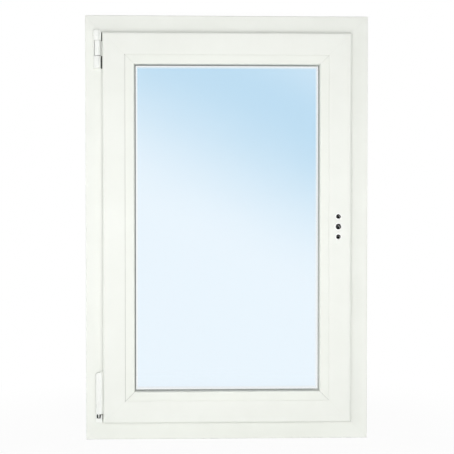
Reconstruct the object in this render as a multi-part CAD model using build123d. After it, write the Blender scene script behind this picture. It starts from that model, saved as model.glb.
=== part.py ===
from build123d import *
import os

os.makedirs("parts", exist_ok=True)

# PVC tilt-and-turn window, closed: a mitred outer frame, a mitred sash that laps over it
# on the room side, snapped-in glazing beads, a sealed double-glazed unit and the hardware.
# The room side faces -Y, +Z is up, and the origin is on the middle of the sill's foot.
# Profiles are drawn as (inset from the frame's outer edge, depth along Y), in millimetres.

# Outer frame
width = 600.0
height = 900.0
frame_depth = 60.0
frame_body = 43.0                # outer edge to the rebate's floor
frame_leg_height = 20.0          # weather leg above the rebate's floor
frame_leg_thickness = 14.0
frame_edge_radius = 2.0
frame_lip_radius = 3.0
clip_groove_width = 8.0          # grooves round the outside that take extension profiles
clip_groove_depth = 4.0
clip_groove_offset = 18.0

# Sash
frame_reveal = 37.0              # frame that shows outside the sash
sash_flange = 18.0               # sash edge to its hardware groove face
sash_face = 47.5                 # sash edge to the glazing bead
sash_proud = 18.0                # the sash stands this far into the room
room_seal_gap = 5.0              # sash flange to frame
weather_seal_gap = 4.0           # sash to the frame's weather leg
sash_edge_radius = 5.0
sash_bevel = 6.0                 # weather-side bevel beside the glass
hardware_groove_width = 16.0
hardware_groove_depth = 2.5
hardware_groove_setback = 13.0   # flange's back to the groove's centre line

# Walls of the hollow profiles and the steel inside them
wall = 2.8
web = 1.5
steel = 1.5
steel_clearance = 0.3

# Glazing
pane_thickness = 4.0
cavity = 16.0
glazing_seal = 3.0
glass_clearance = 5.0            # pane edge to the glazing rebate's floor
upstand_height = 15.8            # glazing rebate's weather side, lower than the bead
bead_height = 20.0
bead_depth = 16.0
bead_nose_length = 2.0
bead_nose_drop = 2.0
bead_nose_radius = 2.0
bead_foot = 2.5
joint_radius = 0.8               # softened edges either side of the bead joint
gasket_show = 1.7                # dark line of gasket beside the bead
gasket_grip = 4.6                # part of the gasket clamped on the glass
gasket_lip = 1.6                 # thickness of the gasket's edge on the glass
spacer_height = 6.5
spacer_wall = 0.5
spacer_inset = 4.5               # pane edge to the spacer's back
packer_length = 80.0
packer_corner_offset = 75.0

# Handle fixing, left bare
handle_inset = 27.5              # sash edge to the spindle's axis
handle_rise = 3.4                # spindle above the window's middle
handle_screw_spacing = 43.0
lug_hole_radius = 5.0
spindle_hole_radius = 6.0
spindle_square = 7.0

# Locking gear
gear_thickness = 12.0
gear_width = 22.0
gear_length = 96.0
gear_corner_radius = 3.0
gear_screw_radius = 2.1
gear_clearance = 0.3
follower_radius = 5.8
follower_clearance = 0.1
faceplate_thickness = 2.0
faceplate_side_clearance = 0.2
faceplate_end_gap = 30.0         # groove corner to the faceplate's end
cam_radius = 4.0
cam_neck_radius = 2.5
cam_head = 2.0
cam_height = 8.0
cam_spacing = 260.0              # handle to each cam
striker_length = 50.0
striker_thickness = 2.5
striker_edge_gap = 2.0
striker_lip = 3.0
striker_lip_height = 9.0
striker_lip_gap = 0.5            # cam to the lip it pulls against

# Hinge axis on the left, and the upper hinge
hinge_inset = 27.6
hinge_front = 10.0               # frame face to the hinge axis
pin_radius = 3.0
pin_clearance = 0.1
leaf_thickness = 2.0
leaf_root = 4.0                  # width of the leaf where it leaves its barrel
knuckle_gap = 0.5
cap_length = 22.0
cap_radius = 7.2
cap_shift = -2.4
cap_chamfer = 1.6
pin_cover = 4.0                  # cap and bearing beyond the pin's ends
knuckle_length = 31.5
knuckle_radius = 6.3
knuckle_shift = -0.4
bearing_length = 25.5
bearing_radius = 7.6
bearing_shift = -1.6
bearing_gap = 1.0
stay_arm_length = 240.0
stay_arm_width = 12.0
notch_clearance = 1.0            # seal to the hinge leaves that cross it

# Lower hinge, with the bearing's own cap missing
band_bottom = 57.0
band_length = 83.0
band_radius = 5.0
cover_wall = 1.5
cover_half_width = 7.45
cover_shift = 1.55
cover_edge = 3.0
cover_crown = 6.8                # cover above the band
cover_slope = 18.0               # degrees, falling away from the sash
foot_bottom = 39.5
foot_top = 54.5
foot_left = 5.9                  # hinge axis to the bearing's left side
foot_right = 7.6
foot_corner_radius = 1.5
foot_floor = 8.5                 # bearing's solid base
foot_pocket_left = 4.0
foot_pocket_right = 4.6
foot_pocket_reach = 20.0         # pocket's open front, past the bearing's own
pivot_radius = 1.2
pivot_depth = 3.0                # pivot sunk into the bearing's base

# Drainage on the weather side
drain_corner_offset = 120.0
drain_slot_length = 28.0
drain_slot_height = 5.0
drain_slot_level = 8.0           # slot's middle above the weather chamber's floor
drain_cap_length = 42.0
drain_cap_height = 16.0
drain_cap_depth = 6.0
drain_cap_wall = 1.5
drain_cap_radius = 2.0

# Depths along Y, from the room side outwards
frame_room = -frame_depth / 2
frame_weather = frame_depth / 2
leg_room = frame_weather - frame_leg_thickness
sash_room = frame_room - sash_proud
room_wall_back = sash_room + wall
flange_back = frame_room - room_seal_gap
sash_weather = leg_room - weather_seal_gap
bead_back = sash_room + bead_depth
glass_room = bead_back + glazing_seal
glass_weather = glass_room + 2 * pane_thickness + cavity
upstand_room = glass_weather + glazing_seal
groove_centre = flange_back + hardware_groove_setback
groove_room = groove_centre - hardware_groove_width / 2
groove_weather = groove_centre + hardware_groove_width / 2

# Insets from the frame's outer edge, inwards
leg_tip = frame_body + frame_leg_height
groove_face = frame_reveal + sash_flange
groove_floor = groove_face + hardware_groove_depth
bead_joint = frame_reveal + sash_face
sight_line = bead_joint + bead_height
gasket_tip = sight_line + gasket_show
upstand_line = bead_joint + upstand_height
outer_gasket_tip = upstand_line + gasket_show
pane_edge = bead_joint + glass_clearance
faceplate_face = groove_floor - faceplate_thickness


def outline(*corners):
    """A closed section from (inset, depth, corner radius) triples."""
    points = [(inset, depth) for inset, depth, radius in corners]
    radii = [radius for inset, depth, radius in corners]
    return make_face(FilletPolyline(*points, radius=radii, close=True))


def strip(inset_from, inset_to, depth_from, depth_to):
    """A rectangular section between two insets and two depths."""
    middle = Pos((inset_from + inset_to) / 2, (depth_from + depth_to) / 2)
    return middle * Rectangle(inset_to - inset_from, depth_to - depth_from)


def block(x_from, x_to, y_from, y_to, z_from, z_to):
    """A box between two limits on each axis."""
    middle = Pos((x_from + x_to) / 2, (y_from + y_to) / 2, (z_from + z_to) / 2)
    return middle * Box(x_to - x_from, y_to - y_from, z_to - z_from)


# Each side starts at one corner of the window and runs to the next
sides = {
    "left": (Plane((-width / 2, 0, 0), x_dir=(1, 0, 0), z_dir=(0, 0, 1)), height),
    "top": (Plane((-width / 2, 0, height), x_dir=(0, 0, -1), z_dir=(1, 0, 0)), width),
    "right": (Plane((width / 2, 0, height), x_dir=(-1, 0, 0), z_dir=(0, 0, -1)), height),
    "bottom": (Plane((width / 2, 0, 0), x_dir=(0, 0, 1), z_dir=(-1, 0, 0)), width),
}


def mitred(section, side):
    """A length of profile along one side of the window, mitred at both corners."""
    plane, length = sides[side]
    reach = gasket_tip + bead_height
    trapezoid = Polyline((0, 0), (0, length), (reach, length - reach), (reach, reach), close=True)
    cutter = Rot(90, 0, 0) * extrude(make_face(trapezoid), frame_depth * 2, both=True)
    return plane * (extrude(section, length) & cutter)


def ring(section):
    """A profile that runs right round the window in one piece."""
    return Part() + [mitred(section, side) for side in sides]


def sawn(section, side, corner_gap):
    """A length of profile along one side, sawn square before it reaches the corners."""
    plane, length = sides[side]
    return plane * Pos(0, 0, corner_gap) * extrude(section, length - 2 * corner_gap)


# Outer frame: clip grooves outside, three chambers across the depth, one more in the leg
frame_groove_inner = clip_groove_offset - clip_groove_width / 2
frame_groove_outer = clip_groove_offset + clip_groove_width / 2
frame_steel_half = frame_groove_inner - wall
frame_inner = frame_body - wall
frame_section = outline(
    (0, frame_room, frame_edge_radius),
    (frame_body, frame_room, frame_lip_radius),
    (frame_body, leg_room, 0),
    (leg_tip, leg_room, joint_radius),
    (leg_tip, frame_weather, frame_lip_radius),
    (0, frame_weather, frame_edge_radius),
)
frame_section -= strip(0, clip_groove_depth, frame_groove_inner, frame_groove_outer)
frame_section -= strip(0, clip_groove_depth, -frame_groove_outer, -frame_groove_inner)
chamber_back = clip_groove_depth + wall
frame_section -= strip(wall, frame_inner, -frame_steel_half, frame_steel_half)
frame_section -= strip(chamber_back, frame_inner, frame_room + wall, -frame_steel_half - web)
frame_section -= strip(chamber_back, frame_inner, frame_steel_half + web, frame_weather - wall)
frame_section -= strip(frame_body, leg_tip - wall, leg_room + wall, frame_weather - wall)

frame_left_jamb = mitred(frame_section, "left")
frame_head = mitred(frame_section, "top")
frame_right_jamb = mitred(frame_section, "right")
frame_sill = mitred(frame_section, "bottom")

# Drainage: slots from the rebate into the sill's weather chamber and out under hooded caps
drain_positions = [side * (width / 2 - drain_corner_offset) for side in (-1, 1)]
slot_middle = chamber_back + drain_slot_level
drain_outlet = Rectangle(drain_slot_length, drain_slot_height)
weather_chamber = frame_steel_half + web
drain_inlet = Rectangle(drain_slot_length, leg_room - weather_chamber)
cap_bottom = slot_middle - drain_cap_height / 2
drain_caps = Part()
for x in drain_positions:
    inlet = Plane((x, (weather_chamber + leg_room) / 2, frame_body)) * drain_inlet
    frame_sill -= extrude(inlet, -wall)
    outlet = Plane((x, frame_weather, slot_middle), x_dir=(1, 0, 0), z_dir=(0, 1, 0)) * drain_outlet
    frame_sill -= extrude(outlet, -wall)
    hood = block(
        x - drain_cap_length / 2,
        x + drain_cap_length / 2,
        frame_weather,
        frame_weather + drain_cap_depth,
        cap_bottom,
        cap_bottom + drain_cap_height,
    )
    hood_front = hood.faces().sort_by(Axis.Y)[-1]
    hood = chamfer(hood_front.edges().sort_by(Axis.Z)[-1], drain_cap_depth - drain_cap_wall)
    hood -= block(
        x - drain_cap_length / 2 + drain_cap_wall,
        x + drain_cap_length / 2 - drain_cap_wall,
        frame_weather,
        frame_weather + drain_cap_depth - drain_cap_wall,
        cap_bottom,
        slot_middle + drain_slot_height / 2,
    )
    drain_caps += hood

# Sash: flange chamber, front, steel and weather chambers, and one in the glazing upstand
sash_inner = bead_joint - wall
front_chamber_back = flange_back
steel_chamber_front = front_chamber_back + web
steel_chamber_back = groove_weather + wall
sash_section = outline(
    (frame_reveal, sash_room, sash_edge_radius),
    (bead_joint, sash_room, joint_radius),
    (bead_joint, upstand_room, 0),
    (upstand_line, upstand_room, joint_radius),
    (upstand_line, sash_weather - sash_bevel, 2.0),
    (upstand_line - sash_bevel, sash_weather, 2.0),
    (groove_face, sash_weather, joint_radius),
    (groove_face, flange_back, joint_radius),
    (frame_reveal, flange_back, joint_radius),
)
sash_section -= strip(groove_face, groove_floor, groove_room, groove_weather)
sash_section -= strip(bead_joint - bead_foot, bead_joint, room_wall_back, room_wall_back + bead_foot)
sash_section -= strip(frame_reveal + wall, groove_face, room_wall_back, flange_back - wall)
sash_section -= strip(groove_face + web, sash_inner - bead_foot, room_wall_back, front_chamber_back)
sash_section -= strip(groove_floor + wall, sash_inner, steel_chamber_front, steel_chamber_back)
sash_section -= strip(groove_face + wall, sash_inner, steel_chamber_back + web, sash_weather - wall)
upstand_chamber_tip = upstand_line - sash_bevel
upstand_chamber_front = upstand_room + wall
upstand_chamber_back = sash_weather - wall
sash_section -= strip(
    sash_inner + web, upstand_chamber_tip, upstand_chamber_front, upstand_chamber_back
)

sash_hinge_stile = mitred(sash_section, "left")
sash_top_rail = mitred(sash_section, "top")
sash_lock_stile = mitred(sash_section, "right")
sash_bottom_rail = mitred(sash_section, "bottom")

# Glazing beads: a hollow section with a sloping nose and a foot that snaps into the sash
bead_section = outline(
    (bead_joint, sash_room, joint_radius),
    (sight_line - bead_nose_length, sash_room, bead_nose_radius),
    (sight_line, sash_room + bead_nose_drop, bead_nose_radius),
    (sight_line, bead_back, 0),
    (bead_joint, bead_back, 0),
)
bead_section += strip(bead_joint - bead_foot, bead_joint, room_wall_back, room_wall_back + bead_foot)
bead_section -= strip(bead_joint + web, sight_line - 2 * web, room_wall_back, bead_back - web)

glazing_bead_left = mitred(bead_section, "left")
glazing_bead_top = mitred(bead_section, "top")
glazing_bead_right = mitred(bead_section, "right")
glazing_bead_bottom = mitred(bead_section, "bottom")

# Glazing gaskets, clamped on the glass with a lip that shows beside the bead
gasket_root = sight_line - gasket_grip
bead_gasket = ring(
    outline(
        (gasket_root, bead_back, 0),
        (sight_line, bead_back, 0),
        (gasket_tip, glass_room - gasket_lip, joint_radius),
        (gasket_tip, glass_room, 0),
        (gasket_root, glass_room, 0),
    )
)
outer_gasket_root = upstand_line - gasket_grip
outer_gasket = ring(
    outline(
        (outer_gasket_root, glass_weather, 0),
        (outer_gasket_tip, glass_weather, 0),
        (outer_gasket_tip, glass_weather + gasket_lip, joint_radius),
        (upstand_line, upstand_room, 0),
        (outer_gasket_root, upstand_room, 0),
    )
)

# Sealed unit: two panes, a folded spacer bar and the seal behind it
pane = Box(width - 2 * pane_edge, pane_thickness, height - 2 * pane_edge)
glass_inner_pane = Pos(0, glass_room + pane_thickness / 2, height / 2) * pane
glass_outer_pane = Pos(0, glass_weather - pane_thickness / 2, height / 2) * pane
cavity_room = glass_room + pane_thickness
cavity_weather = glass_weather - pane_thickness
spacer_back = pane_edge + spacer_inset
spacer_front = spacer_back + spacer_height
spacer_section = strip(spacer_back, spacer_front, cavity_room, cavity_weather)
spacer_section -= strip(
    spacer_back, spacer_front - spacer_wall, cavity_room + spacer_wall, cavity_weather - spacer_wall
)
spacer_bar = ring(spacer_section)
edge_seal = ring(strip(pane_edge, spacer_back, cavity_room, cavity_weather))

# Packers between the sealed unit and the sash, two to a side
packer_section = strip(bead_joint, pane_edge, glass_room, glass_weather)
glazing_packers = Part()
for side, (plane, length) in sides.items():
    first = bead_joint + packer_corner_offset - packer_length / 2
    last = length - first - packer_length
    for start in (first, last):
        glazing_packers += plane * Pos(0, 0, start) * extrude(packer_section, packer_length)

# Steel channels in the middle chambers, open towards the outer edge
frame_channel = strip(
    wall + steel_clearance,
    frame_inner - steel_clearance,
    steel_clearance - frame_steel_half,
    frame_steel_half - steel_clearance,
)
frame_channel -= strip(
    wall + steel_clearance,
    frame_inner - steel_clearance - steel,
    steel_clearance + steel - frame_steel_half,
    frame_steel_half - steel_clearance - steel,
)
frame_reinforcement = Part() + [sawn(frame_channel, side, frame_body) for side in sides]
sash_channel = strip(
    groove_floor + wall + steel_clearance,
    sash_inner - steel_clearance,
    steel_chamber_front + steel_clearance,
    steel_chamber_back - steel_clearance,
)
sash_channel -= strip(
    groove_floor + wall + steel_clearance,
    sash_inner - steel_clearance - steel,
    steel_chamber_front + steel_clearance + steel,
    steel_chamber_back - steel_clearance - steel,
)
sash_channels = {side: sawn(sash_channel, side, bead_joint) for side in sides}

# Seals between sash and frame: a foot on the sash or leg, and a tongue pressed on the other
overlap_gasket = ring(
    outline(
        (frame_reveal + 1.0, flange_back, 0),
        (frame_body - 0.5, flange_back, 0),
        (frame_body - 2.0, frame_room, 1.0),
        (frame_reveal + 2.0, frame_room, 1.0),
    )
)
weather_gasket = ring(
    outline(
        (leg_tip - 6.0, leg_room, 0),
        (leg_tip - 1.0, leg_room, 0),
        (leg_tip - 2.0, sash_weather, 1.0),
        (leg_tip - 5.0, sash_weather, 1.0),
    )
)

# Handle fixing: two lug holes and a spindle hole through the lock stile's room wall
handle_x = width / 2 - frame_reveal - handle_inset
handle_z = height / 2 + handle_rise
screw_levels = [handle_z - handle_screw_spacing / 2, handle_z + handle_screw_spacing / 2]


def round_hole(z, radius, depth_from, depth_to):
    """A round hole at the handle, running away from the room."""
    mouth = Plane((handle_x, depth_from, z), x_dir=(1, 0, 0), z_dir=(0, 1, 0))
    return extrude(mouth * Circle(radius), depth_to - depth_from)


sash_lock_stile -= round_hole(handle_z, spindle_hole_radius, sash_room, room_wall_back)
for z in screw_levels:
    sash_lock_stile -= round_hole(z, lug_hole_radius, sash_room, room_wall_back)

# Locking gear: the case lies in a pocket routed through the groove, behind the handle
gear_room = groove_centre - gear_thickness / 2
gear_weather = groove_centre + gear_thickness / 2
gear_outer_x = width / 2 - groove_floor
gear_inner_x = gear_outer_x - gear_width
gear_bottom = handle_z - gear_length / 2
gear_top = handle_z + gear_length / 2
gear_pocket = block(
    gear_inner_x - gear_clearance,
    width / 2 - groove_face,
    room_wall_back,
    gear_weather,
    gear_bottom - gear_clearance,
    gear_top + gear_clearance,
)
sash_lock_stile -= gear_pocket
sash_channels["right"] -= gear_pocket
sash_reinforcement = Part() + list(sash_channels.values())

gear_case = block(gear_inner_x, gear_outer_x, gear_room, gear_weather, gear_bottom, gear_top)
inner_corners = gear_case.edges().filter_by(Axis.Y).group_by(Axis.X)[0]
gear_case = fillet(inner_corners, gear_corner_radius)
gear_case -= round_hole(handle_z, follower_radius + follower_clearance, gear_room, gear_weather)
for z in screw_levels:
    gear_case -= round_hole(z, gear_screw_radius, gear_room, gear_weather)

spindle_follower = round_hole(handle_z, follower_radius, gear_room, gear_weather)
spindle_follower -= Pos(handle_x, groove_centre, handle_z) * Box(
    spindle_square, gear_thickness, spindle_square
)

# Faceplate along the groove, and cams that draw the sash onto the striker plates
faceplate_bottom = groove_face + faceplate_end_gap
lock_faceplate = block(
    width / 2 - groove_floor,
    width / 2 - faceplate_face,
    groove_room + faceplate_side_clearance,
    groove_weather - faceplate_side_clearance,
    faceplate_bottom,
    height - faceplate_bottom,
)
cam_room = groove_centre - cam_radius
striker_x = width / 2 - frame_body
locking_cams = Part()
striker_plates = Part()
for z in (handle_z - cam_spacing, handle_z + cam_spacing):
    cam_seat = Plane(
        (width / 2 - faceplate_face, groove_centre, z), x_dir=(0, 1, 0), z_dir=(1, 0, 0)
    )
    locking_cams += extrude(cam_seat * Circle(cam_neck_radius), cam_height)
    locking_cams += extrude(cam_seat.offset(cam_height - cam_head) * Circle(cam_radius), cam_head)
    striker = block(
        striker_x - striker_thickness,
        striker_x,
        frame_room + striker_edge_gap,
        leg_room - striker_edge_gap,
        z - striker_length / 2,
        z + striker_length / 2,
    )
    striker += block(
        striker_x - striker_lip_height,
        striker_x,
        cam_room - striker_lip_gap - striker_lip,
        cam_room - striker_lip_gap,
        z - striker_length / 2,
        z + striker_length / 2,
    )
    striker_plates += striker

# Upper hinge: the frame's bearing with its cap, and the stay arm's knuckle between them
hinge_x = hinge_inset - width / 2
hinge_y = frame_room - hinge_front
groove_face_x = groove_face - width / 2
rail_top = height - groove_face
leaf_back = (flange_back + frame_room + leaf_thickness) / 2
leaf_front = leaf_back - leaf_thickness


def barrel(radius, z_from, z_to, shift=0.0):
    """An upright round barrel on the hinge axis, or shifted across it."""
    return Pos(hinge_x + shift, hinge_y, (z_from + z_to) / 2) * Cylinder(radius, z_to - z_from)


def seated_barrel(radius, z_from, z_to, shift=0.0):
    """A barrel with a square back that reaches the frame's face."""
    left = hinge_x + shift - radius
    right = hinge_x + shift + radius
    return barrel(radius, z_from, z_to, shift) + block(left, right, hinge_y, frame_room, z_from, z_to)


def leaf(z_from, z_to):
    """A steel leaf from the hinge axis, through the seal gap, to the sash's groove face."""
    root = block(hinge_x, hinge_x + leaf_root, hinge_y, leaf_back, z_from, z_to)
    return root + block(hinge_x, groove_face_x, leaf_front, leaf_back, z_from, z_to)


knuckle_top = rail_top
cap_foot = knuckle_top + knuckle_gap
hinge_top = cap_foot + cap_length
knuckle_foot = knuckle_top - knuckle_length
bearing_top = knuckle_foot - bearing_gap
bearing_foot = bearing_top - bearing_length
pin_hole = pin_radius + pin_clearance

top_hinge_cap = seated_barrel(cap_radius, cap_foot, hinge_top, cap_shift)
top_hinge_cap = chamfer(top_hinge_cap.edges().group_by(Axis.Z)[-1], cap_chamfer)
top_hinge_cap -= barrel(pin_hole, cap_foot, hinge_top - pin_cover)

knuckle_left = hinge_x + knuckle_shift - knuckle_radius - knuckle_gap * 2
top_hinge_bearing = seated_barrel(bearing_radius, bearing_foot, bearing_top, bearing_shift)
top_hinge_bearing += block(
    hinge_x + bearing_shift - bearing_radius,
    knuckle_left,
    hinge_y,
    frame_room,
    bearing_top,
    cap_foot,
)
top_hinge_bearing -= barrel(pin_hole, bearing_foot + pin_cover, bearing_top)

top_hinge_knuckle = barrel(knuckle_radius, knuckle_foot, knuckle_top, knuckle_shift)
top_hinge_knuckle += leaf(knuckle_foot, knuckle_top)
top_hinge_knuckle -= barrel(pin_hole, knuckle_foot, knuckle_top)
top_hinge_pin = barrel(pin_radius, bearing_foot + pin_cover, hinge_top - pin_cover)

# Stay arm on the top rail's groove face, with a lug that lies on the knuckle's leaf
arm_room = groove_centre - stay_arm_width / 2
arm_weather = groove_centre + stay_arm_width / 2
arm_start = groove_face_x - stay_arm_width
stay_arm = block(
    arm_start, arm_start + stay_arm_length, arm_room, arm_weather, rail_top, rail_top + leaf_thickness
)
stay_arm += block(
    arm_start, groove_face_x, leaf_front, arm_room, rail_top, rail_top + leaf_thickness
)

# Lower hinge: the sash's band under a sloping cover turns on a pivot in an open bearing
sash_edge_x = frame_reveal - width / 2
band_top = band_bottom + band_length
bottom_hinge_band = barrel(band_radius, band_bottom, band_top)
bottom_hinge_band += leaf(band_bottom, band_top)
pivot_hole = pivot_radius + pin_clearance
bottom_hinge_band -= barrel(pivot_hole, band_bottom, band_bottom + band_length / 2)

cover_x = hinge_x + cover_shift
cover_room = hinge_y - band_radius - cover_wall
cover_top = band_top + cover_crown
bottom_hinge_cover = block(
    cover_x - cover_half_width, cover_x + cover_half_width, cover_room, leaf_front, band_bottom, cover_top
)
cover_room_edges = bottom_hinge_cover.edges().filter_by(Axis.Z).group_by(Axis.Y)[0]
bottom_hinge_cover = chamfer(cover_room_edges, cover_edge)
cover_cut = Plane(
    (cover_x + cover_half_width, hinge_y, cover_top),
    z_dir=Vector(0, 0, 1).rotate(Axis.Y, -cover_slope),
)
bottom_hinge_cover = split(bottom_hinge_cover, bisect_by=cover_cut, keep=Keep.BOTTOM)
bottom_hinge_cover -= barrel(band_radius + pin_clearance, band_bottom, band_top)
bottom_hinge_cover -= block(
    hinge_x - pin_clearance,
    hinge_x + leaf_root + pin_clearance,
    hinge_y,
    leaf_front,
    band_bottom,
    band_top,
)

foot_pocket = block(
    hinge_x - foot_pocket_left,
    hinge_x + foot_pocket_right,
    frame_room - foot_pocket_reach,
    frame_room - web,
    foot_bottom + foot_floor,
    foot_top,
)
bottom_hinge_bearing = block(
    hinge_x - foot_left, hinge_x + foot_right, cover_room, frame_room, foot_bottom, foot_top
)
foot_room_edges = bottom_hinge_bearing.edges().filter_by(Axis.Z).group_by(Axis.Y)[0]
bottom_hinge_bearing = fillet(foot_room_edges, foot_corner_radius)
bottom_hinge_bearing -= foot_pocket
pivot_foot = foot_bottom + foot_floor - pivot_depth
bottom_hinge_bearing -= barrel(pivot_radius, pivot_foot, foot_bottom + foot_floor)
bottom_hinge_pin = barrel(pivot_radius, pivot_foot, band_bottom + band_length / 2)

# The overlap seal is notched where the two hinge leaves pass under the flange
for leaf_bottom, leaf_top in ((knuckle_foot, knuckle_top), (band_bottom, band_top)):
    overlap_gasket -= block(
        sash_edge_x,
        groove_face_x,
        flange_back,
        frame_room,
        leaf_bottom - notch_clearance,
        leaf_top + notch_clearance,
    )

nodes = {
    "frame_left_jamb": frame_left_jamb,
    "frame_head": frame_head,
    "frame_right_jamb": frame_right_jamb,
    "frame_sill": frame_sill,
    "drain_caps": drain_caps,
    "sash_hinge_stile": sash_hinge_stile,
    "sash_top_rail": sash_top_rail,
    "sash_lock_stile": sash_lock_stile,
    "sash_bottom_rail": sash_bottom_rail,
    "glazing_bead_left": glazing_bead_left,
    "glazing_bead_top": glazing_bead_top,
    "glazing_bead_right": glazing_bead_right,
    "glazing_bead_bottom": glazing_bead_bottom,
    "bead_gasket": bead_gasket,
    "outer_gasket": outer_gasket,
    "glass_inner_pane": glass_inner_pane,
    "glass_outer_pane": glass_outer_pane,
    "spacer_bar": spacer_bar,
    "edge_seal": edge_seal,
    "glazing_packers": glazing_packers,
    "frame_reinforcement": frame_reinforcement,
    "sash_reinforcement": sash_reinforcement,
    "overlap_gasket": overlap_gasket,
    "weather_gasket": weather_gasket,
    "gear_case": gear_case,
    "spindle_follower": spindle_follower,
    "lock_faceplate": lock_faceplate,
    "locking_cams": locking_cams,
    "striker_plates": striker_plates,
    "top_hinge_cap": top_hinge_cap,
    "top_hinge_bearing": top_hinge_bearing,
    "top_hinge_knuckle": top_hinge_knuckle,
    "top_hinge_pin": top_hinge_pin,
    "stay_arm": stay_arm,
    "bottom_hinge_band": bottom_hinge_band,
    "bottom_hinge_cover": bottom_hinge_cover,
    "bottom_hinge_bearing": bottom_hinge_bearing,
    "bottom_hinge_pin": bottom_hinge_pin,
}

for name, solid in nodes.items():
    solid.label = name
    export_step(solid, f"parts/{name}.step")
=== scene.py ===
import math

import bmesh
import bpy
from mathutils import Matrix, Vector


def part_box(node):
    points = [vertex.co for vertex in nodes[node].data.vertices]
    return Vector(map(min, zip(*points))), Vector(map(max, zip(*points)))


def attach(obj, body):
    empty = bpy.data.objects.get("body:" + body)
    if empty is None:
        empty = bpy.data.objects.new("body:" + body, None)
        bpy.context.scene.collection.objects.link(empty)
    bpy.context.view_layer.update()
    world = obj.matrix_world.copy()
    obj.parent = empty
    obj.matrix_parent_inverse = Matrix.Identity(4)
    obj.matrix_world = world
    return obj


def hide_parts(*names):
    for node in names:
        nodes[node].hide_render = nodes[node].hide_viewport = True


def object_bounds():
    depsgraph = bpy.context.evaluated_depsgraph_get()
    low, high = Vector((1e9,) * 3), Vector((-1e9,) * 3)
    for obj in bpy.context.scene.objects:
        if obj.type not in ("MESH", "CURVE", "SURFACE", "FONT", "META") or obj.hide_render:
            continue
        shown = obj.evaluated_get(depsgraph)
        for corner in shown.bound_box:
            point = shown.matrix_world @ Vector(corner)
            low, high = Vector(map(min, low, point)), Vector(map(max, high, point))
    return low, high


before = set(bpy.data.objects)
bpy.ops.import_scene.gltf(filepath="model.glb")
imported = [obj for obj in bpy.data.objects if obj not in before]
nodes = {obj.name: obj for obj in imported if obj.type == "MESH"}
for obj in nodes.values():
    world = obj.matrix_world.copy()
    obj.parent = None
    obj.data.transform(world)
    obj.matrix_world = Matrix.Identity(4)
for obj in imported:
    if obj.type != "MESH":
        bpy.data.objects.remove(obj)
cad_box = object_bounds()

# Camera: it stands 2.5 m in front of the room side, a little left of the middle and above
# it, and is turned slightly to the right and down, as the photograph's corners give it.
camera_data = bpy.data.cameras.new("camera")
camera_data.sensor_width = 36.0
camera_data.lens = 92.13
camera_data.clip_start = 0.05
camera_data.clip_end = 200.0
camera_drop = math.radians(1.373)
camera_turn = math.radians(-1.952)
camera = bpy.data.objects.new("camera", camera_data)
camera.location = (-0.0844, -2.5, 0.5116)
camera.rotation_euler = (math.radians(90) - camera_drop, 0.0, camera_turn)
bpy.context.scene.collection.objects.link(camera)
bpy.context.scene.camera = camera
bpy.context.scene.view_settings.view_transform = "Standard"

# Studio: a soft surround that lights the window evenly from all sides, and shows as plain
# white to the eye, in gloss and through the glass.
plain_white = (1.0, 1.0, 1.0, 1.0)
surround_light = 0.3
surround_shown = 1.0
world = bpy.data.worlds.new("studio")
bpy.context.scene.world = world
world.use_nodes = True
world_tree = world.node_tree
world_tree.nodes.clear()
soft_surround = world_tree.nodes.new("ShaderNodeBackground")
soft_surround.inputs["Color"].default_value = plain_white
soft_surround.inputs["Strength"].default_value = surround_light
white_surround = world_tree.nodes.new("ShaderNodeBackground")
white_surround.inputs["Color"].default_value = plain_white
white_surround.inputs["Strength"].default_value = surround_shown


def seen_directly(tree):
    """1 for the light paths that show plain white: camera, glossy and transmission."""
    path = tree.nodes.new("ShaderNodeLightPath")
    gloss = tree.nodes.new("ShaderNodeMath")
    gloss.operation = "MAXIMUM"
    tree.links.new(path.outputs["Is Camera Ray"], gloss.inputs[0])
    tree.links.new(path.outputs["Is Glossy Ray"], gloss.inputs[1])
    either = tree.nodes.new("ShaderNodeMath")
    either.operation = "MAXIMUM"
    tree.links.new(gloss.outputs[0], either.inputs[0])
    tree.links.new(path.outputs["Is Transmission Ray"], either.inputs[1])
    return either.outputs[0]


world_mix = world_tree.nodes.new("ShaderNodeMixShader")
world_out = world_tree.nodes.new("ShaderNodeOutputWorld")
world_tree.links.new(seen_directly(world_tree), world_mix.inputs[0])
world_tree.links.new(soft_surround.outputs[0], world_mix.inputs[1])
world_tree.links.new(white_surround.outputs[0], world_mix.inputs[2])
world_tree.links.new(world_mix.outputs[0], world_out.inputs[0])

# Floor: plain white, on which the window stands and throws a faint shadow. The shadow fades
# out within a metre, so that no horizon shows behind the glass.
floor_size = 60.0
floor_level = -0.0002
floor_pale = (0.92, 0.92, 0.91, 1.0)
shadow_near = 0.35
shadow_far = 0.9
white_near = 0.93
bpy.ops.object.select_all(action="DESELECT")
bpy.ops.mesh.primitive_plane_add(size=floor_size, location=(0.0, 0.0, floor_level))
floor = bpy.context.object
floor.name = "floor"
floor_look = bpy.data.materials.new("floor_white")
floor_look.use_nodes = True
floor_tree = floor_look.node_tree
floor_tree.nodes.clear()
floor_paint = floor_tree.nodes.new("ShaderNodeBsdfDiffuse")
floor_paint.inputs["Color"].default_value = floor_pale
floor_white = floor_tree.nodes.new("ShaderNodeEmission")
floor_white.inputs["Color"].default_value = plain_white
floor_white.inputs["Strength"].default_value = 1.0
floor_place = floor_tree.nodes.new("ShaderNodeTexCoord")
floor_reach = floor_tree.nodes.new("ShaderNodeVectorMath")
floor_reach.operation = "LENGTH"
floor_tree.links.new(floor_place.outputs["Object"], floor_reach.inputs[0])
floor_fade = floor_tree.nodes.new("ShaderNodeMapRange")
floor_fade.interpolation_type = "SMOOTHSTEP"
floor_fade.inputs["From Min"].default_value = shadow_near
floor_fade.inputs["From Max"].default_value = shadow_far
floor_fade.inputs["To Min"].default_value = white_near
floor_fade.inputs["To Max"].default_value = 1.0
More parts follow.
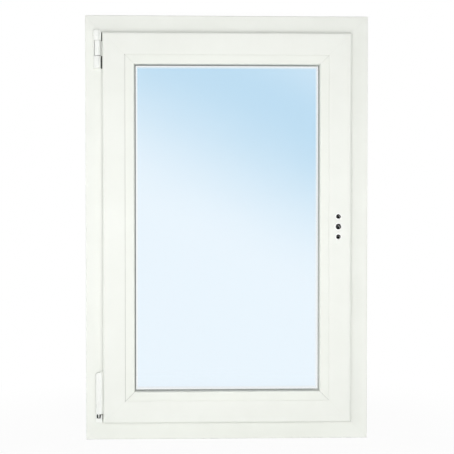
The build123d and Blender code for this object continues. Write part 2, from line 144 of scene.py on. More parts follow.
floor_tree.links.new(floor_reach.outputs["Value"], floor_fade.inputs["Value"])
floor_share = floor_tree.nodes.new("ShaderNodeMath")
floor_share.operation = "MULTIPLY"
floor_tree.links.new(seen_directly(floor_tree), floor_share.inputs[0])
floor_tree.links.new(floor_fade.outputs["Result"], floor_share.inputs[1])
floor_mix = floor_tree.nodes.new("ShaderNodeMixShader")
floor_out = floor_tree.nodes.new("ShaderNodeOutputMaterial")
floor_tree.links.new(floor_share.outputs[0], floor_mix.inputs[0])
floor_tree.links.new(floor_paint.outputs[0], floor_mix.inputs[1])
floor_tree.links.new(floor_white.outputs[0], floor_mix.inputs[2])
floor_tree.links.new(floor_mix.outputs[0], floor_out.inputs[0])
floor.data.materials.append(floor_look)


# Lamps: a large soft one in front, one on the left that gives the sash its soft shadow, weak
# ones low in front and overhead, and others at the sides and behind. None of them shows in
# gloss or through the glass: glass and metal mirror the white surround.
def soft_lamp(name, place, aim, size, power):
    """A square lamp at a place, turned towards a point."""
    lamp_data = bpy.data.lights.new(name, "AREA")
    lamp_data.shape = "SQUARE"
    lamp_data.size = size
    lamp_data.energy = power
    lamp = bpy.data.objects.new(name, lamp_data)
    lamp.location = place
    lamp.rotation_euler = (Vector(aim) - Vector(place)).to_track_quat("-Z", "Y").to_euler()
    lamp.visible_glossy = False
    lamp.visible_transmission = False
    bpy.context.scene.collection.objects.link(lamp)


window_middle = (0.0, 0.0, 0.45)
below_middle = (0.0, 0.0, 0.35)
soft_lamp("front_lamp", place=(0.15, -3.2, 0.45), aim=below_middle, size=1.4, power=34.0)
soft_lamp("left_lamp", place=(-3.6, -2.5, 0.7), aim=below_middle, size=1.3, power=20.0)
soft_lamp("left_side_lamp", place=(-2.8, 0.6, 0.9), aim=window_middle, size=1.5, power=18.0)
soft_lamp("right_side_lamp", place=(2.8, 0.6, 0.9), aim=window_middle, size=1.5, power=22.0)
soft_lamp("back_lamp", place=(0.5, 3.2, 0.9), aim=window_middle, size=1.6, power=44.0)
soft_lamp("overhead_lamp", place=(0.0, -1.2, 2.6), aim=(0.0, -0.9, 0.0), size=1.6, power=4.5)
soft_lamp("low_lamp", place=(-0.1, -1.4, 0.35), aim=(0.0, 0.0, 0.0), size=0.65, power=4.6)

# Bars of the frame and the sash: hollow white PVC profiles extruded in long lengths, sawn at
# 45 degrees and welded at the corners, where the cleaned seam leaves a shallow groove. The
# surface is satin, with faint draw lines along each bar.
window_half_width = cad_box[1].x
window_height = cad_box[1].z
pvc_colours = ((0.868, 0.886, 0.838), (0.85, 0.868, 0.818))
satin = 0.32
draw_lines = 900.0
draw_stretch = 3.0
draw_relief = 0.00012
pvc_grain = 1400.0
grain_relief = 0.00006
welded_seam = (0.0009, 0.0002, 0.05)  # half width, depth and soiling
soiled_seam = (0.36, 0.37, 0.34)
soiled_below = 0.35
clean_above = 0.6
clean_share = 0.25
# Painted shade along the left glazing bead's joint: line colour, its strength, tick colour.
joint_shade_line = (0.26, 0.265, 0.245)
joint_shade_cover = 0.85
joint_shade_tick = (0.34, 0.345, 0.32)
corner_cover = 0.7
corner_core = 0.0003
corner_reach = 0.0011
corner_width = 0.6
# Painted highlight round the drilled holes: its colour, full width and fade.
rim_highlight = (0.97, 0.975, 0.96)
rim_width = 0.0012
rim_reach = 0.0026


def principled(name, colour, roughness, metallic=0.0):
    """A material of one shader, with its nodes and links at hand."""
    look = bpy.data.materials.new(name)
    look.use_nodes = True
    shader = look.node_tree.nodes["Principled BSDF"]
    shader.inputs["Base Color"].default_value = (*colour, 1.0)
    shader.inputs["Roughness"].default_value = roughness
    shader.inputs["Metallic"].default_value = metallic
    return look, look.node_tree, shader


def placed(tree, scale=(1.0, 1.0, 1.0)):
    """Object coordinates, stretched by a scale for each axis."""
    place = tree.nodes.new("ShaderNodeTexCoord")
    mapping = tree.nodes.new("ShaderNodeMapping")
    mapping.inputs["Scale"].default_value = scale
    tree.links.new(place.outputs["Object"], mapping.inputs["Vector"])
    return mapping.outputs["Vector"]


def place_parts(tree):
    """Object coordinates as three values, one for each axis."""
    place = tree.nodes.new("ShaderNodeTexCoord")
    apart = tree.nodes.new("ShaderNodeSeparateXYZ")
    tree.links.new(place.outputs["Object"], apart.inputs[0])
    return apart.outputs


def noise(tree, vector, scale, detail=3.0, rough=0.5):
    """A noise value between 0 and 1 over a vector."""
    node = tree.nodes.new("ShaderNodeTexNoise")
    node.inputs["Scale"].default_value = scale
    node.inputs["Detail"].default_value = detail
    node.inputs["Roughness"].default_value = rough
    tree.links.new(vector, node.inputs["Vector"])
    return node.outputs["Fac"]


def math_node(tree, operation, first, second=None):
    """One sum on one or two values, each a socket or a number."""
    node = tree.nodes.new("ShaderNodeMath")
    node.operation = operation
    for index, value in enumerate((first, second)):
        if value is None:
            continue
        if isinstance(value, (int, float)):
            node.inputs[index].default_value = value
        else:
            tree.links.new(value, node.inputs[index])
    return node.outputs[0]


def apart_from(tree, value, middle):
    """How far a value is from a middle, on either side."""
    return math_node(tree, "ABSOLUTE", math_node(tree, "SUBTRACT", value, middle))


def ranged(tree, value, low, high, out_low, out_high, smooth=False):
    """A value moved from one range to another, and kept inside it."""
    node = tree.nodes.new("ShaderNodeMapRange")
    node.clamp = True
    if smooth:
        node.interpolation_type = "SMOOTHSTEP"
    tree.links.new(value, node.inputs["Value"])
    node.inputs["From Min"].default_value = low
    node.inputs["From Max"].default_value = high
    node.inputs["To Min"].default_value = out_low
    node.inputs["To Max"].default_value = out_high
    return node.outputs["Result"]


def blended(tree, share, colour_a, colour_b):
    """A colour between two, each a socket or three numbers."""
    node = tree.nodes.new("ShaderNodeMix")
    node.data_type = "RGBA"
    tree.links.new(share, node.inputs[0])
    for socket, value in ((node.inputs[6], colour_a), (node.inputs[7], colour_b)):
        if isinstance(value, tuple):
            socket.default_value = (*value, 1.0)
        else:
            tree.links.new(value, socket)
    return node.outputs[2]


def bumped(tree, shader, height, strength, distance, before=None):
    """A bump from a height value, after an earlier bump if there is one."""
    node = tree.nodes.new("ShaderNodeBump")
    node.inputs["Strength"].default_value = strength
    node.inputs["Distance"].default_value = distance
    tree.links.new(height, node.inputs["Height"])
    if before is not None:
        tree.links.new(before, node.inputs["Normal"])
    tree.links.new(node.outputs["Normal"], shader.inputs["Normal"])
    return node.outputs["Normal"]


def mitre_distance(tree):
    """How far a point is from the corner diagonals: below 0 on the uprights."""
    at = place_parts(tree)
    from_side = math_node(tree, "SUBTRACT", window_half_width, math_node(tree, "ABSOLUTE", at["X"]))
    upward = apart_from(tree, at["Z"], window_height / 2)
    from_end = math_node(tree, "SUBTRACT", window_height / 2, upward)
    return math_node(tree, "SUBTRACT", from_side, from_end)


def shade_lined(tree, at, colour, joint):
    """A thin line of painted shade along an upright joint, with a short painted shade tick at each end.
    """
    joint_x, joint_end, joint_half = joint
    aside = apart_from(tree, at["X"], joint_x)
    near = ranged(tree, aside, 0.0, joint_half, joint_shade_cover, 0.0, smooth=True)
    up = apart_from(tree, at["Z"], window_height / 2)
    inside = math_node(tree, "LESS_THAN", up, joint_end)
    lined = blended(tree, math_node(tree, "MULTIPLY", near, inside), colour, joint_shade_line)
    corner = apart_from(tree, up, joint_end)
    across = math_node(tree, "MULTIPLY", aside, corner_width)
    spread = math_node(tree, "MAXIMUM", corner, across)
    tick = ranged(tree, spread, corner_core, corner_reach, corner_cover, 0.0, smooth=True)
    return blended(tree, tick, lined, joint_shade_tick)


def highlight_rimmed(tree, at, colour, hole):
    """A pale rim round a drilled hole: a painted highlight."""
    hole_x, hole_z, radius = hole
    aside = math_node(tree, "POWER", math_node(tree, "SUBTRACT", at["X"], hole_x), 2.0)
    above = math_node(tree, "POWER", math_node(tree, "SUBTRACT", at["Z"], hole_z), 2.0)
    away = math_node(tree, "SQRT", math_node(tree, "ADD", aside, above))
    rim = ranged(tree, away, radius + rim_width, radius + rim_reach, 1.0, 0.0, smooth=True)
    return blended(tree, rim, colour, rim_highlight)


def pvc(name, colours, seam, drilled=(), joint_shade=None):
    """Satin white PVC: draw lines along each bar, mitre lines, painted highlight rims, a painted shade
    joint.
    """
    white, shade = colours
    seam_half, seam_depth, seam_soiling = seam
    look, tree, shader = principled(name, white, satin)
    shader.inputs["Specular IOR Level"].default_value = 0.5
    mitre = mitre_distance(tree)
    upright_lines = noise(tree, placed(tree, (draw_lines, draw_lines, draw_stretch)), 1.0, 2.0)
    level_lines = noise(tree, placed(tree, (draw_stretch, draw_lines, draw_lines)), 1.0, 2.0)
    lines_mix = tree.nodes.new("ShaderNodeMix")
    tree.links.new(math_node(tree, "GREATER_THAN", mitre, 0.0), lines_mix.inputs[0])
    tree.links.new(upright_lines, lines_mix.inputs[2])
    tree.links.new(level_lines, lines_mix.inputs[3])
    lines = lines_mix.outputs[0]
    clouds = noise(tree, placed(tree), 9.0, 4.0, 0.6)
    tone = ranged(tree, clouds, 0.35, 0.65, 0.0, 1.0, smooth=True)
    base = blended(tree, tone, white, shade)
    on_seam = ranged(tree, math_node(tree, "ABSOLUTE", mitre), 0.0, seam_half, 1.0, 0.0, smooth=True)
    at = place_parts(tree)
    cleaned = seam_soiling * clean_share
    soiling = ranged(tree, at["Z"], soiled_below, clean_above, seam_soiling, cleaned)
    surface = blended(tree, math_node(tree, "MULTIPLY", on_seam, soiling), base, soiled_seam)
    if joint_shade is not None:
        surface = shade_lined(tree, at, surface, joint_shade)
    for hole in drilled:
        surface = highlight_rimmed(tree, at, surface, hole)
    tree.links.new(surface, shader.inputs["Base Color"])
    polish = math_node(tree, "MULTIPLY", lines, 0.16)
    patches = math_node(tree, "MULTIPLY", clouds, 0.12)
    gloss = math_node(tree, "ADD", math_node(tree, "ADD", polish, patches), 0.2)
    tree.links.new(gloss, shader.inputs["Roughness"])
    drawn = bumped(tree, shader, lines, 0.12, draw_relief)
    grain = noise(tree, placed(tree), pvc_grain, 2.0)
    pebbled = bumped(tree, shader, grain, 0.1, grain_relief, drawn)
    bumped(tree, shader, math_node(tree, "SUBTRACT", 1.0, on_seam), 1.0, seam_depth, pebbled)
    return look


def finish_with(look, *names):
    """Gives CAD nodes a material in every slot they have."""
    for name in names:
        slots = nodes[name].data.materials
        for index in range(len(slots)):
            slots[index] = look
        if not slots:
            slots.append(look)


white_pvc = pvc("white_pvc", pvc_colours, welded_seam)
finish_with(white_pvc, "frame_left_jamb", "frame_head", "frame_right_jamb", "frame_sill")
finish_with(white_pvc, "sash_top_rail", "sash_bottom_rail")

# Hinge stile: the sash's left bar. The fine joint where the glazing bead meets it carries
# painted shade, as a thin grey line with a tick at each corner.
bead_width = 0.02
bead_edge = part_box("glazing_bead_left")[1].x - bead_width
joint_reach = window_height / 2 - window_half_width - bead_edge
joint_half = 0.0005
bead_joint = (bead_edge, joint_reach, joint_half)
joint_pvc = pvc("joint_pvc", pvc_colours, welded_seam, (), bead_joint)
finish_with(joint_pvc, "sash_hinge_stile")

# Lock stile: the sash's right bar, drilled for the handle with a hole for its spindle and
# one above and below for its lugs. A painted highlight rings each drilled edge.
follower_low, follower_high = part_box("spindle_follower")
handle_x = (follower_low.x + follower_high.x) / 2
handle_z = (follower_low.z + follower_high.z) / 2
lug_rise = 0.0215
lug_radius = 0.005
spindle_radius = 0.006
handle_holes = [
    (handle_x, handle_z, spindle_radius),
    (handle_x, handle_z - lug_rise, lug_radius),
    (handle_x, handle_z + lug_rise, lug_radius),
]
drilled_pvc = pvc("drilled_pvc", pvc_colours, welded_seam, handle_holes)
finish_with(drilled_pvc, "sash_lock_stile")

# Glazing beads: four hollow PVC strips, mitred and snapped in round the glass from the room
# side. They aren't welded, so a hairline joint shows at each corner.
bead_colours = ((0.866, 0.888, 0.832), (0.846, 0.868, 0.812))
open_joint = (0.0008, 0.0004, 0.95)
bead_pvc = pvc("bead_pvc", bead_colours, open_joint)
# The left bead carries painted shade along its joint with the hinge stile.
shade_lined_bead = pvc("shade_lined_bead", bead_colours, open_joint, (), bead_joint)
finish_with(bead_pvc, "glazing_bead_top", "glazing_bead_right", "glazing_bead_bottom")
finish_with(shade_lined_bead, "glazing_bead_left")

# Glass: two 4 mm float panes. Their colour carries a painted reflection of a blue sky,
# strongest in a slanting band over the upper half and almost clear below, and a painted
# highlight along their edges.
reflected_sky_blue = (0.7, 0.845, 0.942)
almost_clear = (0.906, 0.958, 0.996)
edge_highlight = (0.98, 0.995, 1.0)
reflected_sky_band = [
    (0.0, 0.7),
    (0.1, 0.84),
    (0.21, 1.0),
    (0.37, 0.92),
    (0.56, 0.56),
    (0.75, 0.17),
    (0.9, 0.02),
    (1.0, 0.0),
]
band_top = 0.7931
band_slant = 0.5
band_from = -0.075
band_to = 0.425
wisp_drift = 0.05
sight_edge = 0.1065
edge_bright = 0.001
edge_fade = 0.004
glass_look, glass_tree, glass_shader = principled("clear_glass", almost_clear, 0.0)
glass_shader.inputs["Transmission Weight"].default_value = 1.0
glass_shader.inputs["IOR"].default_value = 1.52
glass_at = place_parts(glass_tree)
below_top = math_node(glass_tree, "SUBTRACT", band_top, glass_at["Z"])
slanted = math_node(glass_tree, "MULTIPLY", glass_at["X"], band_slant)
down_band = math_node(glass_tree, "SUBTRACT", below_top, slanted)
wisps = noise(glass_tree, placed(glass_tree, (1.0, 1.0, 1.6)), 3.2, 2.0)
drift = math_node(glass_tree, "MULTIPLY", wisps, wisp_drift)
drifted = math_node(glass_tree, "ADD", down_band, drift)
along_band = ranged(glass_tree, drifted, band_from, band_to, 0.0, 1.0)
ramp = glass_tree.nodes.new("ShaderNodeValToRGB")
ramp.color_ramp.interpolation = "B_SPLINE"
stops = ramp.color_ramp.elements
stops.remove(stops[1])
stops[0].position = reflected_sky_band[0][0]
for stop_at, blue in reflected_sky_band[1:]:
    stops.new(stop_at)
for stop, (stop_at, blue) in zip(stops, reflected_sky_band):
    stop.color = (blue, blue, blue, 1.0)
glass_tree.links.new(along_band, ramp.inputs["Fac"])
# Painted reflection of a blue sky, in the base colour.
reflected_sky = blended(glass_tree, ramp.outputs["Color"], almost_clear, reflected_sky_blue)
glass_side = math_node(glass_tree, "ABSOLUTE", glass_at["X"])
side_inset = math_node(glass_tree, "SUBTRACT", window_half_width, glass_side)
glass_up = apart_from(glass_tree, glass_at["Z"], window_height / 2)
end_inset = math_node(glass_tree, "SUBTRACT", window_height / 2, glass_up)
edge_inset = math_node(glass_tree, "MINIMUM", side_inset, end_inset)
# Painted highlight along the glass edges, just inside the sight line.
edge_share = ranged(
    glass_tree, edge_inset, sight_edge + edge_bright, sight_edge + edge_fade, 1.0, 0.0, smooth=True
)
highlighted_edge = blended(glass_tree, edge_share, reflected_sky, edge_highlight)
glass_tree.links.new(highlighted_edge, glass_shader.inputs["Base Color"])
finish_with(glass_look, "glass_inner_pane", "glass_outer_pane")

# Spacer bar: folded mill-finish aluminium between the panes, with a row of fine breathing
# slits along its visible face.
mill_grey = (0.62, 0.63, 0.64)
slit_dark = (0.1, 0.1, 0.1)


def coloured(tree, shader, share, colour_a, colour_b):
    """Lets the base colour move between two colours."""
    tree.links.new(blended(tree, share, colour_a, colour_b), shader.inputs["Base Color"])


def roughened(tree, shader, share, low, high, smoothest, roughest):
    """Lets the roughness follow a value."""
    tree.links.new(ranged(tree, share, low, high, smoothest, roughest), shader.inputs["Roughness"])


spacer_look, spacer_tree, spacer_shader = principled("spacer_aluminium", mill_grey, 0.38, 1.0)
slits = spacer_tree.nodes.new("ShaderNodeTexVoronoi")
slits.inputs["Scale"].default_value = 1.0
spacer_tree.links.new(placed(spacer_tree, (500.0, 90.0, 500.0)), slits.inputs["Vector"])
slit = ranged(spacer_tree, slits.outputs["Distance"], 0.12, 0.2, 1.0, 0.0)
coloured(spacer_tree, spacer_shader, slit, mill_grey, slit_dark)
rolled = noise(spacer_tree, placed(spacer_tree, (60.0, 700.0, 60.0)), 1.0, 2.0)
roughened(spacer_tree, spacer_shader, rolled, 0.0, 1.0, 0.3, 0.5)
bumped(spacer_tree, spacer_shader, rolled, 0.15, 0.0001)
finish_with(spacer_look, "spacer_bar")

# Edge seal: dark polysulphide, trowelled in behind the spacer round the whole unit. It is
# slightly uneven.
sealant_dark = (0.022, 0.022, 0.024)
sealant_pale = (0.045, 0.045, 0.048)
seal_look, seal_tree, seal_shader = principled("edge_sealant", (0.03, 0.03, 0.032), 0.7)
ripples = noise(seal_tree, placed(seal_tree), 160.0, 3.0)
coloured(seal_tree, seal_shader, ripples, sealant_dark, sealant_pale)
roughened(seal_tree, seal_shader, ripples, 0.3, 0.7, 0.55, 0.8)
bumped(seal_tree, seal_shader, ripples, 0.4, 0.0004)
finish_with(seal_look, "edge_seal")

# Packers: shims moulded in blue plastic, ribbed on their faces, that stand under and beside
# the sealed unit. The grooves between the ribs carry painted shade.
# Painted shade in the grooves between the ribs, paler on the ribs.
packer_groove_shade = (0.07, 0.22, 0.42)
packer_ridge_tone = (0.12, 0.33, 0.58)
packer_look, packer_tree, packer_shader = principled("packer_plastic", (0.1, 0.3, 0.55), 0.5)
ribs = packer_tree.nodes.new("ShaderNodeTexWave")
ribs.bands_direction = "Y"
ribs.inputs["Scale"].default_value = 160.0
packer_tree.links.new(placed(packer_tree), ribs.inputs["Vector"])
coloured(packer_tree, packer_shader, ribs.outputs["Fac"], packer_groove_shade, packer_ridge_tone)
bumped(packer_tree, packer_shader, ribs.outputs["Fac"], 0.5, 0.0003)
finish_with(packer_look, "glazing_packers")

# Room-side and rebate gaskets: extruded rubber, pressed round the glass under the beads and
# between sash and frame. They are dark grey, and paler towards the foot and the lock side.
rubber_dark = (0.15, 0.165, 0.155)
rubber_pale = (0.23, 0.25, 0.235)
# Paler towards the lock side, most on its lower part, and along the foot.
rubber_paler = (0.5, 0.53, 0.5)
paler_side = (0.17, 0.19)
paler_heights = (0.2, 0.8)
upper_share = 0.45
paler_foot = (0.1, 0.115)
foot_share = 0.7
rubber_look, rubber_tree, rubber_shader = principled("seal_rubber", (0.12, 0.135, 0.125), 0.55)
bloom = noise(rubber_tree, placed(rubber_tree), 60.0, 4.0, 0.6)
rubber_tone = blended(rubber_tree, bloom, rubber_dark, rubber_pale)
rubber_at = place_parts(rubber_tree)
lock_side = ranged(rubber_tree, rubber_at["X"], *paler_side, 0.0, 1.0)
height_paling = ranged(rubber_tree, rubber_at["Z"], *paler_heights, 1.0, upper_share)
side_paling = math_node(rubber_tree, "MULTIPLY", lock_side, height_paling)
foot_paling = ranged(rubber_tree, rubber_at["Z"], *paler_foot, foot_share, 0.0)
seal_paling = math_node(rubber_tree, "MAXIMUM", side_paling, foot_paling)
coloured(rubber_tree, rubber_shader, seal_paling, rubber_tone, rubber_paler)
roughened(rubber_tree, rubber_shader, bloom, 0.2, 0.8, 0.45, 0.7)
rubber_skin = noise(rubber_tree, placed(rubber_tree), 900.0, 2.0)
bumped(rubber_tree, rubber_shader, rubber_skin, 0.25, 0.00012)
finish_with(rubber_look, "bead_gasket", "overlap_gasket", "weather_gasket")

# Weather-side glazing gasket: the same extruded rubber, bleached to a pale grey by the sun,
# in the groove of the sash's upstand.
bleached_dark = (0.4, 0.42, 0.4)
bleached_pale = (0.5, 0.52, 0.5)
pale_rubber, pale_tree, pale_shader = principled("pale_rubber", (0.32, 0.34, 0.33), 0.55)
pale_bloom = noise(pale_tree, placed(pale_tree), 60.0, 4.0, 0.6)
coloured(pale_tree, pale_shader, pale_bloom, bleached_dark, bleached_pale)
roughened(pale_tree, pale_shader, pale_bloom, 0.2, 0.8, 0.45, 0.7)
bumped(pale_tree, pale_shader, noise(pale_tree, placed(pale_tree), 900.0, 2.0), 0.25, 0.00012)
finish_with(pale_rubber, "outer_gasket")

# Reinforcement: galvanised steel channels, slid into the bars' middle chambers before they
# are welded, with the zinc's faint spangle.
zinc_light = (0.6, 0.62, 0.63)
zinc_dull = (0.42, 0.44, 0.46)
zinc_look, zinc_tree, zinc_shader = principled("galvanised_steel", (0.55, 0.57, 0.58), 0.42, 1.0)
spangle = zinc_tree.nodes.new("ShaderNodeTexVoronoi")
spangle.inputs["Scale"].default_value = 140.0
zinc_tree.links.new(placed(zinc_tree), spangle.inputs["Vector"])
coloured(zinc_tree, zinc_shader, spangle.outputs["Distance"], zinc_light, zinc_dull)
roughened(zinc_tree, zinc_shader, spangle.outputs["Distance"], 0.0, 1.0, 0.32, 0.55)
finish_with(zinc_look, "frame_reinforcement", "sash_reinforcement")

# Locking gear in the sash's groove, the strikers on the frame, the stay arm and the pins:
# steel, zinc-plated to a fine brushed lustre.
plate_dull = (0.5, 0.51, 0.5)
plate_bright = (0.66, 0.66, 0.63)
plate_look, plate_tree, plate_shader = principled("plated_steel", (0.6, 0.6, 0.58), 0.3, 1.0)
brushed = noise(plate_tree, placed(plate_tree, (60.0, 900.0, 60.0)), 1.0, 3.0)
smears = noise(plate_tree, placed(plate_tree), 45.0, 4.0, 0.6)
coloured(plate_tree, plate_shader, smears, plate_dull, plate_bright)
plate_rough = math_node(plate_tree, "ADD", math_node(plate_tree, "MULTIPLY", brushed, 0.22), 0.2)
plate_tree.links.new(plate_rough, plate_shader.inputs["Roughness"])
bumped(plate_tree, plate_shader, brushed, 0.15, 0.00008)
finish_with(plate_look, "lock_faceplate", "locking_cams", "striker_plates")
finish_with(plate_look, "top_hinge_pin", "bottom_hinge_pin", "stay_arm")

# Gear case and follower: a steel case behind the handle holes, with the turning follower for
# the spindle in it. Both are greased, and show only through the holes; their near-black colour
# is partly the grease and partly painted shade.
# Grease and painted shade: near-black tones for parts seen only through the holes.
grease_and_shade_dark = (0.01, 0.01, 0.01)
grease_and_shade_pale = (0.035, 0.035, 0.033)
shade_dark_steel, steel_tree, steel_shader = principled("shade_dark_steel", (0.02, 0.02, 0.02), 0.5)
steel_shader.inputs["Specular IOR Level"].default_value = 0.2
grease_and_shade_mottle = noise(steel_tree, placed(steel_tree), 300.0, 3.0)
coloured(steel_tree, steel_shader, grease_and_shade_mottle, grease_and_shade_dark, grease_and_shade_pale)
roughened(steel_tree, steel_shader, grease_and_shade_mottle, 0.2, 0.8, 0.35, 0.65)
finish_with(shade_dark_steel, "gear_case", "spindle_follower")

# Drain caps: two white hoods moulded in one piece each, clipped over the sill's outlets on
# the weather side, ribbed inside and open below, with softened edges.
trim_white = (0.915, 0.93, 0.9)
trim_shade = (0.895, 0.91, 0.88)
drain_length = 0.042
drain_wall = 0.0015
drain_slope = 0.0042
drain_edge = 0.0008
drain_roof = 0.0055
rib_spacing = 0.0098
rib_half = 0.0005
rib_roof = 0.005
overcut = 0.001  # how far a cutting tool reaches past what it cuts
hair = 0.00001  # how far an edge may lie from where it is looked for
weld_distance = 0.00002
sharp_angle = 0.3
smooth_angle = math.radians(40)


def moulded(name, colour, shade, roughness):
    """White moulded plastic with faint flow marks."""
    look, tree, shader = principled(name, colour, roughness)
    flow = noise(tree, placed(tree), 70.0, 3.0)
    coloured(tree, shader, flow, colour, shade)
    roughened(tree, shader, flow, 0.2, 0.8, roughness - 0.05, roughness + 0.1)
    bumped(tree, shader, noise(tree, placed(tree), 1600.0, 2.0), 0.12, 0.00008)
    return look


def boxed(name, low, high):
    """A box between two corners, its place in its mesh."""
    bpy.ops.object.select_all(action="DESELECT")
    middle = [(a + b) / 2 for a, b in zip(low, high)]
    size = [b - a for a, b in zip(low, high)]
    bpy.ops.mesh.primitive_cube_add(size=1.0, location=middle, scale=size)
    bpy.ops.object.transform_apply(location=True, rotation=True, scale=True)
    bpy.context.object.name = name
    return bpy.context.object


def active(piece):
    """Makes one piece the only one selected."""
    bpy.ops.object.select_all(action="DESELECT")
    piece.select_set(True)
    bpy.context.view_layer.objects.active = piece


def bevelled(piece, width, segments, test):
    """Rounds the sharp edges whose middle and direction pass a test."""
    active(piece)
    bpy.ops.object.mode_set(mode="EDIT")
    bpy.ops.mesh.select_mode(type="EDGE")
    bpy.ops.mesh.select_all(action="DESELECT")
    mesh = bmesh.from_edit_mesh(piece.data)
    for edge in mesh.edges:
        start, end = edge.verts[0].co, edge.verts[1].co
        sharp = len(edge.link_faces) == 2 and edge.calc_face_angle() > sharp_angle
        if sharp and test((start + end) / 2, (end - start).normalized()):
            edge.select_set(True)
    bmesh.update_edit_mesh(piece.data)
    bpy.ops.mesh.bevel(offset=width, segments=segments, affect="EDGES", profile=0.5, clamp_overlap=True)
    bpy.ops.object.mode_set(mode="OBJECT")


def combined(piece, tool, way):
    """Joins a tool to a piece, or cuts it away."""
    active(piece)
    change = piece.modifiers.new("cut", "BOOLEAN")
    change.operation = way
    change.solver = "EXACT"
    change.object = tool
    bpy.ops.object.modifier_apply(modifier="cut")
    bpy.data.objects.remove(tool)


def finished(piece, look, slot, *stands_for):
    """Welds and smooths a piece, gives it its material and hangs it on the window."""
    active(piece)
    bpy.ops.object.mode_set(mode="EDIT")
    bpy.ops.mesh.select_all(action="SELECT")
    bpy.ops.mesh.remove_doubles(threshold=weld_distance)
    bpy.ops.mesh.dissolve_degenerate(threshold=weld_distance)
    bpy.ops.mesh.delete_loose()
    bpy.ops.mesh.normals_make_consistent(inside=False)
    bpy.ops.object.mode_set(mode="OBJECT")
    bpy.ops.object.shade_smooth_by_angle(angle=smooth_angle)
    piece.data.materials.clear()
    piece.data.materials.append(look)
    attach(piece, "root")
    if stands_for:
        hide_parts(*stands_for)


trim_look = moulded("white_trim", trim_white, trim_shade, 0.28)
drain_low, drain_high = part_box("drain_caps")
drain_x = drain_high.x - drain_length / 2
hood_low = Vector((drain_high.x - drain_length, drain_low.y, drain_low.z))
drain_hoods = boxed("drain_hoods", hood_low, drain_high)
bevelled(
    drain_hoods,
    drain_slope,
    1,
    lambda at, along: at.y > drain_high.y - hair and at.z > drain_high.z - hair,
)
bevelled(
    drain_hoods,
    drain_edge,
    3,
    lambda at, along: at.y > drain_low.y + hair and at.z > drain_low.z + hair,
)
hollow = boxed(
    "hollow",
    (hood_low.x + drain_wall, drain_low.y - overcut, drain_low.z - overcut),
    (drain_high.x - drain_wall, drain_high.y - drain_wall, drain_high.z - drain_roof),
)
combined(drain_hoods, hollow, "DIFFERENCE")
for step in (-1, 0, 1):
    rib_x = drain_x + step * rib_spacing
    rib = boxed(
        "rib",
        (rib_x - rib_half, drain_low.y, drain_low.z),
        (rib_x + rib_half, drain_high.y - drain_edge, drain_high.z - rib_roof),
    )
    combined(drain_hoods, rib, "UNION")
active(drain_hoods)
bpy.ops.object.duplicate()
left_hood = bpy.context.object
left_hood.location.x = -2 * drain_x
bpy.ops.object.transform_apply(location=True, rotation=False, scale=False)
combined(drain_hoods, left_hood, "UNION")
finished(drain_hoods, trim_look, "white_trim", "drain_caps")

# Upper hinge's cap: a moulded white sleeve that clips over the pin's top, with a square back
# on the frame's face and a lip that reaches towards the sash's edge.
frame_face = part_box("frame_left_jamb")[0].y
pin_low, pin_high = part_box("top_hinge_pin")
axis_x = (pin_low.x + pin_high.x) / 2
axis_y = (pin_low.y + pin_high.y) / 2
pin_play = 0.0001
pin_bore = (pin_high.x - pin_low.x) / 2 + pin_play
cap_crown = 0.0018
cap_foot = 0.0004
front_round = 0.995
front_steps = 18
lip_room = -0.043
lip_end = -0.2655
lip_foot = 0.0005
lip_crown = 0.0019
lip_tip = 0.0005
lip_edge = 0.0006


def turned(name, radius, low, high, x, y, sides=56):
    """An upright round bar between two levels, its place in its mesh."""
    bpy.ops.object.select_all(action="DESELECT")
    bpy.ops.mesh.primitive_cylinder_add(
        vertices=sides, radius=radius, depth=high - low, location=(x, y, (low + high) / 2)
    )
    bpy.ops.object.transform_apply(location=True, rotation=True, scale=True)
    bpy.context.object.name = name
    return bpy.context.object


def seated(name, radius, low, high, x):
    """A bar with a round front and a square back that reaches the frame's face."""
    bar = boxed(name, (x - radius, axis_y - radius, low), (x + radius, frame_face, high))
    front = axis_y - radius + hair
    bevelled(
        bar,
        front_round * radius,
        front_steps,
        lambda at, along: abs(along.z) > 0.9 and at.y < front,
    )
    return bar


def end_rounded(piece, level, width, segments):
    """Rounds the edges round a bar's end, apart from the one on the frame's face."""
    bevelled(
        piece,
        width,
        segments,
        lambda at, along: abs(at.z - level) < hair and at.y < frame_face - hair,
    )


cap_low, cap_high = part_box("top_hinge_cap")
cap_radius = (cap_high.x - cap_low.x) / 2
hinge_cap = seated("hinge_cap", cap_radius, cap_low.z, cap_high.z, cap_low.x + cap_radius)
end_rounded(hinge_cap, cap_high.z, cap_crown, 5)
end_rounded(hinge_cap, cap_low.z, cap_foot, 2)
lip = boxed(
    "lip",
    (axis_x, lip_room, cap_low.z + lip_foot),
    (lip_end, frame_face, cap_high.z - lip_crown),
)
bevelled(lip, lip_edge, 3, lambda at, along: at.x > lip_end - lip_tip and at.y < frame_face - hair)
combined(hinge_cap, lip, "UNION")
bore = turned("bore", pin_bore, cap_low.z - overcut, pin_high.z, axis_x, axis_y, 32)
combined(hinge_cap, bore, "DIFFERENCE")
finished(hinge_cap, trim_look, "white_trim", "top_hinge_cap")

